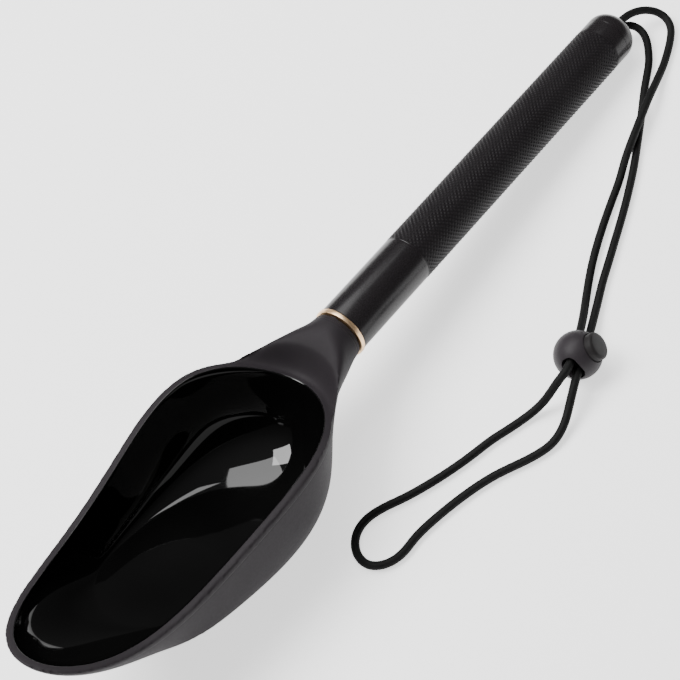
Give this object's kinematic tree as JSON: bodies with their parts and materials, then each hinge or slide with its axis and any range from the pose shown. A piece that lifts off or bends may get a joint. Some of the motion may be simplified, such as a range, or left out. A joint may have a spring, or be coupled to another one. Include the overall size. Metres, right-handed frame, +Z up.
{
  "type": "hand scoop",
  "caption": "Moulded hand scoop on a knurled tubular handle, screw-on head, brass collar, wrist lanyard with ball cord lock.",
  "frame": {"origin": "on the floor under the middle of head and handle, the loose lanyard left out", "axes": "+X along the floor towards the handle's end cap, +Z up, bowl and handle symmetric about the XZ plane"},
  "size_m": [0.4527, 0.1426, 0.0725],
  "materials": {
    "scoop_plastic": "mirror gloss inside the bowl, satin outside",
    "brass": "satin, turned",
    "steel": "plain",
    "anodised_black": "black anodised, semi gloss, diamond knurl on the grip",
    "alloy": "machined",
    "cord_fabric": "braided",
    "lock_plastic": "satin"
  },
  "bodies": {
    "handle": {"grip_tube": "anodised_black", "front_bush": "alloy", "threaded_stud": "steel", "end_cap": "anodised_black", "lanyard_stopper": "cord_fabric", "lanyard_cord": "cord_fabric"},
    "collar": {"collar_ring": "brass"},
    "head": {"scoop_head": "scoop_plastic", "head_insert": "brass"},
    "cord_lock": {"lock_body": "lock_plastic", "lock_spring": "steel"},
    "lock_button": {"lock_plunger": "lock_plastic"}
  },
  "joints": [
    {"name": "head_travel", "type": "slide", "parent": "handle", "child": "collar", "axis": [-0.9933, 0, 0.1158], "range_m": [0, 0.01145]},
    {"name": "head_unscrew", "type": "hinge", "parent": "collar", "child": "head", "pos_m": [-0.01073, 0, 0.03817], "axis": [-0.9933, 0, 0.1158], "range_deg": [0, 3240]},
    {"name": "lock_slide", "type": "slide", "parent": "handle", "child": "cord_lock", "axis": [-0.8839, -0.362, 0.296], "range_m": [0, 0.003]},
    {"name": "lock_press", "type": "slide", "parent": "cord_lock", "child": "lock_button", "axis": [-0.4675, 0.6943, -0.5472], "range_m": [0, 0.0021], "stiffness_N_per_m": 500, "springref_m": -0.003, "deforming": ["lock_spring"]}
  ],
  "couplings": [
    {"joint": "head_travel", "follows": "head_unscrew", "m_per_rad": 0.00020213}
  ]
}
